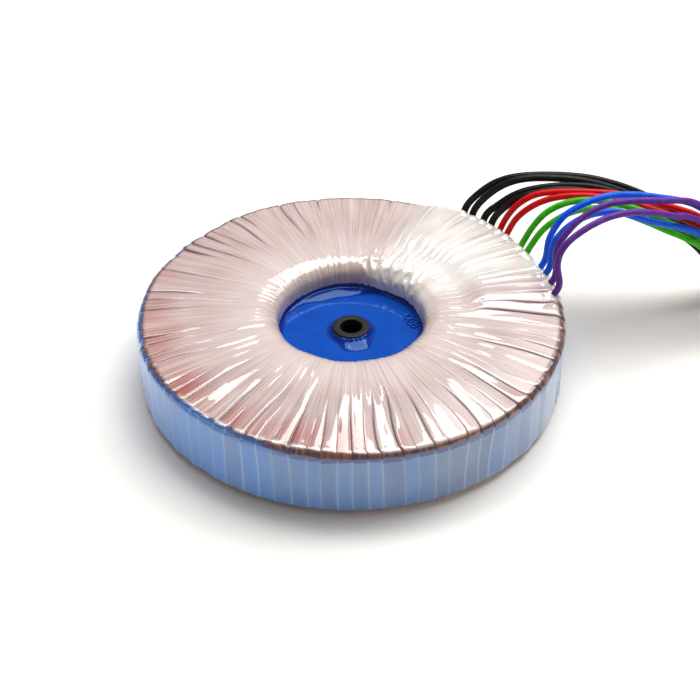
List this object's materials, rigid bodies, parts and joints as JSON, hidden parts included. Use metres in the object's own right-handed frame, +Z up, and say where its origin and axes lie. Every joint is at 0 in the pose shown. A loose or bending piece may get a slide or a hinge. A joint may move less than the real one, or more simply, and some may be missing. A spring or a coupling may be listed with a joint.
{
  "type": "toroidal mains transformer",
  "caption": "Low round toroidal transformer wound in copper under clear film, with a resin-filled centre, a bolt bush and insulated flying leads in colour pairs.",
  "frame": {"origin": "centre of the underside, on the axis of the bolt bore, on the surface that the transformer stands on", "axes": "+Z up along the bolt bore's axis; +X towards the side where the leads leave; +Y completes the right-handed frame"},
  "size_m": [0.2774, 0.13, 0.0508],
  "materials": {
    "core_steel": "wound silicon-steel strip, edges bare",
    "insulation_tape": "yellow polyester insulating tape",
    "primary_copper": "enamelled copper wire, satin",
    "secondary_copper": "enamelled copper wire, glossy",
    "blue_film": "blue polyester film",
    "clear_film": "clear polyester film, glossy, wrinkled in overlapped turns",
    "blue_resin": "glossy poured epoxy resin",
    "bush_plastic": "black moulded plastic, satin",
    "black_pvc": "semi-gloss wire insulation",
    "red_pvc": "semi-gloss wire insulation",
    "green_pvc": "semi-gloss wire insulation",
    "blue_pvc": "semi-gloss wire insulation",
    "violet_pvc": "semi-gloss wire insulation",
    "tinned_copper": "stranded copper, solder-tinned"
  },
  "bodies": {
    "root": {"core": "core_steel", "core_insulation": "insulation_tape", "primary_winding_1": "primary_copper", "primary_winding_2": "primary_copper", "interwinding_tape": "insulation_tape", "secondary_winding_1": "secondary_copper", "secondary_winding_2": "secondary_copper", "secondary_winding_3": "secondary_copper", "secondary_winding_4": "secondary_copper", "edge_band": "blue_film", "outer_wrap": "clear_film", "potting": "blue_resin", "centre_bush": "bush_plastic", "lead_black_1": "black_pvc", "tinned_end_black_1": "tinned_copper", "lead_black_2": "black_pvc", "tinned_end_black_2": "tinned_copper", "lead_black_3": "black_pvc", "tinned_end_black_3": "tinned_copper", "lead_black_4": "black_pvc", "tinned_end_black_4": "tinned_copper", "lead_red_1": "red_pvc", "tinned_end_red_1": "tinned_copper", "lead_red_2": "red_pvc", "tinned_end_red_2": "tinned_copper", "lead_green_1": "green_pvc", "tinned_end_green_1": "tinned_copper", "lead_green_2": "green_pvc", "tinned_end_green_2": "tinned_copper", "lead_blue_1": "blue_pvc", "tinned_end_blue_1": "tinned_copper", "lead_blue_2": "blue_pvc", "tinned_end_blue_2": "tinned_copper", "lead_violet_1": "violet_pvc", "tinned_end_violet_1": "tinned_copper", "lead_violet_2": "violet_pvc", "tinned_end_violet_2": "tinned_copper"}
  },
  "joints": []
}
